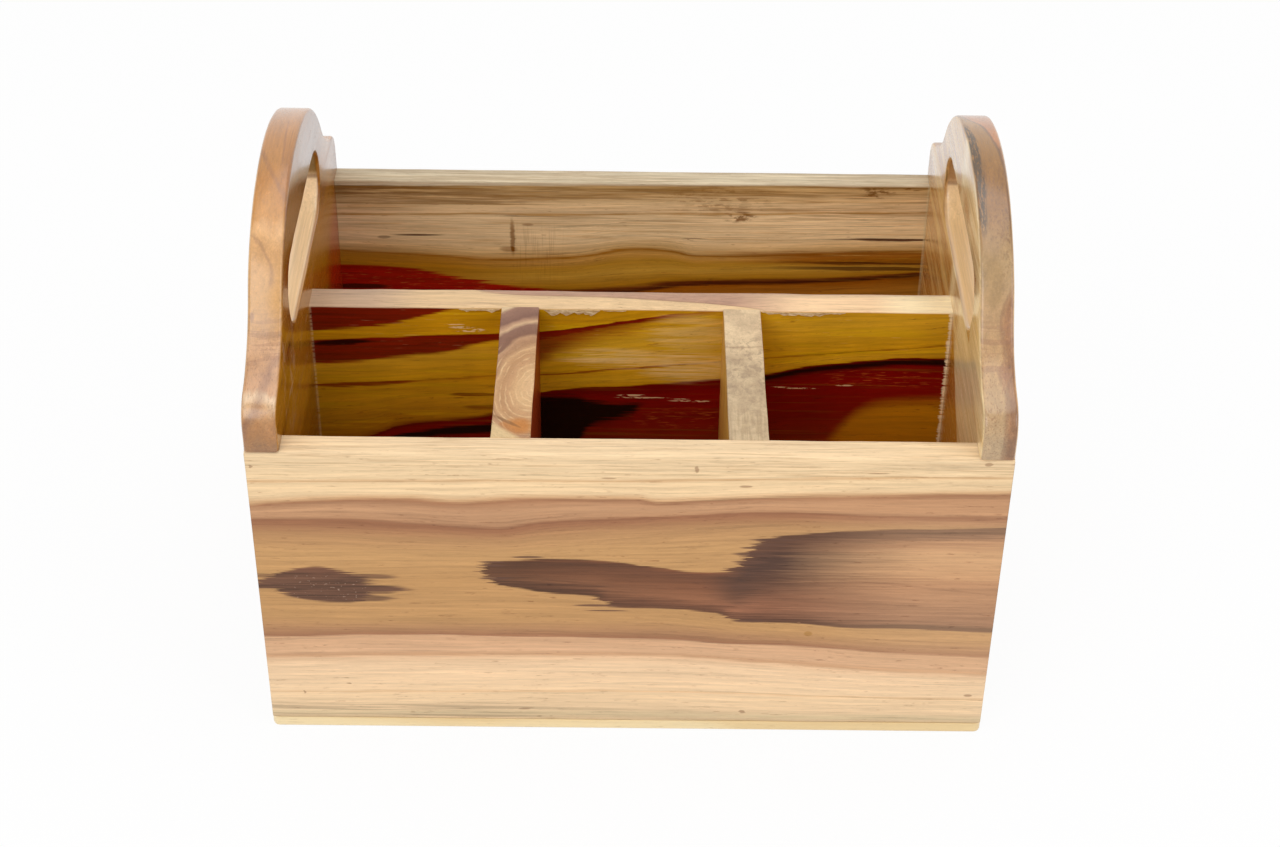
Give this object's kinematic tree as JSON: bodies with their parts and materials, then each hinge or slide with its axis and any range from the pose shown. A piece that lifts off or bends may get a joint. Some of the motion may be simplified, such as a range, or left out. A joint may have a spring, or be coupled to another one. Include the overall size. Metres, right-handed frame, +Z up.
{
  "type": "utensil caddy with drawer",
  "caption": "Open wooden table caddy with short front cells, a long rear trough, humped side boards with hand slots, and a low drawer that pulls out at the back.",
  "frame": {"origin": "centre of the underside of the base board", "axes": "+X to the right along the long boards, +Y to the back where the drawer opens, +Z up"},
  "size_m": [0.305, 0.241, 0.2268],
  "materials": {
    "front_teak": "satin lacquer",
    "back_teak": "satin lacquer",
    "side_teak": "satin lacquer",
    "divider_teak": "satin lacquer",
    "inner_teak": "satin lacquer",
    "base_teak": "satin lacquer",
    "drawer_face_teak": "satin lacquer",
    "drawer_teak": "satin lacquer",
    "drawer_bottom_teak": "satin lacquer",
    "knob_teak": "satin lacquer",
    "brad_steel": "bright drawn wire",
    "screw_brass": "bright"
  },
  "bodies": {
    "carcass": {"front_board": "front_teak", "back_board": "back_teak", "left_side": "side_teak", "right_side": "side_teak", "long_divider": "divider_teak", "left_short_divider": "divider_teak", "right_short_divider": "divider_teak", "compartment_floor": "inner_teak", "base_board": "base_teak", "front_brads": "brad_steel", "back_brads": "brad_steel", "divider_brads": "brad_steel", "base_brads": "brad_steel"},
    "drawer": {"drawer_face": "drawer_face_teak", "drawer_left_side": "drawer_teak", "drawer_right_side": "drawer_teak", "drawer_back": "drawer_teak", "drawer_bottom": "drawer_bottom_teak", "drawer_brads": "brad_steel", "drawer_knob": "knob_teak", "knob_screw": "screw_brass"}
  },
  "joints": [
    {"name": "drawer_slide", "type": "slide", "parent": "carcass", "child": "drawer", "axis": [0, 1, 0], "range_m": [0, 0.16]}
  ]
}
